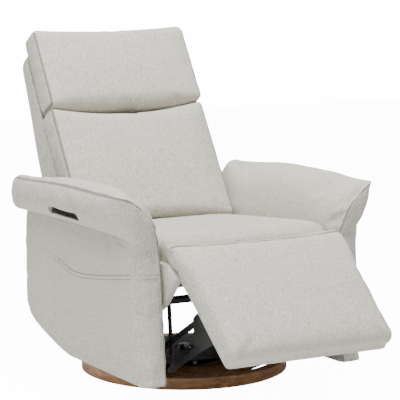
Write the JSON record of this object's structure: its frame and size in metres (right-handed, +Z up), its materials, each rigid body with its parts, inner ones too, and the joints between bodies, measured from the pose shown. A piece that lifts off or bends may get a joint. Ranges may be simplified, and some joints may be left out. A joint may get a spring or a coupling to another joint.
{
  "type": "swivel glider recliner chair",
  "caption": "Upholstered nursery armchair that swivels, glides on hanging links, reclines and opens a footrest, on a round wooden ring base.",
  "frame": {"origin": "on the floor, on the swivel axis", "axes": "+Z up, -Y the way the sitter faces, +X the sitter's left"},
  "size_m": [0.8246, 1.3271, 0.99],
  "materials": {
    "upholstery": "heathered light oat tweed, matte",
    "stained_wood": "walnut stain, satin lacquer",
    "frame_wood": "unfinished plywood and softwood",
    "black_steel": "black paint, semi-gloss",
    "zinc_steel": "zinc plated",
    "black_plastic": "moulded, matte",
    "grey_plastic": "moulded, matte, stone grey",
    "rubber": "matte"
  },
  "bodies": {
    "base": {"base_ring": "stained_wood", "anti_slip_ring": "rubber", "base_plate": "stained_wood", "base_plate_screws": "zinc_steel", "swivel_lower_plate": "black_steel", "base_plate_bolts": "zinc_steel", "king_pin": "zinc_steel", "king_pin_nut": "zinc_steel"},
    "ball_cage": {"swivel_ball_cage": "black_plastic", "swivel_balls": "zinc_steel"},
    "turntable": {"swivel_upper_plate": "black_steel", "glider_stand": "black_steel", "stand_bolts": "zinc_steel", "glide_upper_pins": "zinc_steel"},
    "front_links": {"front_glide_links": "black_steel"},
    "rear_links": {"rear_glide_links": "black_steel"},
    "chair": {"left_side_plate": "black_steel", "right_side_plate": "black_steel", "glide_lower_pins": "zinc_steel", "front_cross_tube": "black_steel", "rear_cross_tube": "black_steel", "seat_frame": "frame_wood", "seat_springs": "zinc_steel", "spring_clips": "zinc_steel", "seat_cushion": "upholstery", "left_arm_board": "frame_wood", "right_arm_board": "frame_wood", "left_arm_padding": "upholstery", "right_arm_padding": "upholstery", "left_arm_wing": "upholstery", "right_arm_wing": "upholstery", "rear_cross_rail": "frame_wood", "arm_bolts": "zinc_steel", "right_arm_pocket": "upholstery", "slot_liner": "grey_plastic", "release_cable": "black_plastic", "pivot_pins": "zinc_steel", "back_pivot_bolts": "zinc_steel", "mechanism_bolts": "zinc_steel", "footrest_bridge": "upholstery"},
    "paddle": {"release_paddle": "grey_plastic"},
    "latch": {"latch_hook": "black_steel"},
    "front_cranks": {"footrest_torque_tube": "black_steel", "footrest_front_cranks": "black_steel"},
    "rear_cranks": {"footrest_rear_cranks": "black_steel"},
    "upper_bars": {"footrest_upper_bars": "black_steel"},
    "lower_bars": {"footrest_lower_bars": "black_steel"},
    "footrest": {"footrest_pad": "upholstery", "footrest_board": "frame_wood", "footrest_brackets": "black_steel", "footrest_screws": "zinc_steel"},
    "back": {"back_frame": "frame_wood", "back_shell": "upholstery", "lumbar_cushion": "upholstery", "back_brackets": "black_steel", "headrest_ratchets": "black_steel"},
    "headrest": {"headrest_board": "frame_wood", "headrest_cushion": "upholstery", "headrest_brackets": "black_steel"}
  },
  "joints": [
    {"name": "swivel", "type": "hinge", "parent": "base", "child": "turntable", "pos_m": [0, 0, 0.053], "axis": [0, 0, 1], "continuous": true},
    {"name": "ball_cage_spin", "type": "hinge", "parent": "base", "child": "ball_cage", "pos_m": [0, 0, 0.046], "axis": [0, 0, 1], "continuous": true},
    {"name": "glide", "type": "hinge", "parent": "turntable", "child": "front_links", "pos_m": [0, -0.13, 0.19], "axis": [1, 0, 0], "range_deg": [-18, 18]},
    {"name": "chair_hang", "type": "hinge", "parent": "front_links", "child": "chair", "pos_m": [0, -0.13, 0.095], "axis": [1, 0, 0], "range_deg": [-18, 18]},
    {"name": "rear_link_swing", "type": "hinge", "parent": "turntable", "child": "rear_links", "pos_m": [0, 0.13, 0.19], "axis": [1, 0, 0], "range_deg": [-18, 18]},
    {"name": "footrest_extend", "type": "hinge", "parent": "chair", "child": "footrest", "pos_m": [0, -0.453, 0.429], "axis": [-1, 0, 0], "range_deg": [-51, 44], "deforming": ["footrest_bridge"]},
    {"name": "front_crank_turn", "type": "hinge", "parent": "chair", "child": "front_cranks", "pos_m": [0, -0.292, 0.338], "axis": [-1, 0, 0], "range_deg": [-51, 44]},
    {"name": "rear_crank_turn", "type": "hinge", "parent": "chair", "child": "rear_cranks", "pos_m": [0, -0.22671, 0.3011], "axis": [-1, 0, 0], "range_deg": [-51, 44]},
    {"name": "upper_bar_swing", "type": "hinge", "parent": "front_cranks", "child": "upper_bars", "pos_m": [0, -0.31123, 0.15501], "axis": [-1, 0, 0], "range_deg": [-44, 51]},
    {"name": "lower_bar_swing", "type": "hinge", "parent": "front_cranks", "child": "lower_bars", "pos_m": [0, -0.31918, 0.07942], "axis": [-1, 0, 0], "range_deg": [-44, 51]},
    {"name": "back_recline", "type": "hinge", "parent": "chair", "child": "back", "pos_m": [0, 0.215, 0.38], "axis": [-1, 0, 0], "range_deg": [-15, 22]},
    {"name": "headrest_tilt", "type": "hinge", "parent": "back", "child": "headrest", "pos_m": [0, 0.4279, 0.7447], "axis": [1, 0, 0], "range_deg": [0, 20]},
    {"name": "paddle_pull", "type": "hinge", "parent": "chair", "child": "paddle", "pos_m": [-0.371, -0.005, 0.502], "axis": [0, 1, 0], "range_deg": [0, 20], "stiffness_Nm_per_rad": 0.3},
    {"name": "latch_release", "type": "hinge", "parent": "chair", "child": "latch", "pos_m": [0, -0.222, 0.335], "axis": [-1, 0, 0], "range_deg": [0, 10]}
  ],
  "couplings": [
    {"joint": "ball_cage_spin", "follows": "swivel", "ratio": 0.5},
    {"joint": "chair_hang", "follows": "glide", "ratio": -1},
    {"joint": "rear_link_swing", "follows": "glide", "ratio": 1},
    {"joint": "front_crank_turn", "follows": "footrest_extend", "ratio": 1},
    {"joint": "rear_crank_turn", "follows": "footrest_extend", "ratio": 1},
    {"joint": "upper_bar_swing", "follows": "footrest_extend", "ratio": -1},
    {"joint": "lower_bar_swing", "follows": "footrest_extend", "ratio": -1},
    {"joint": "latch_release", "follows": "paddle_pull", "ratio": 0.5}
  ]
}
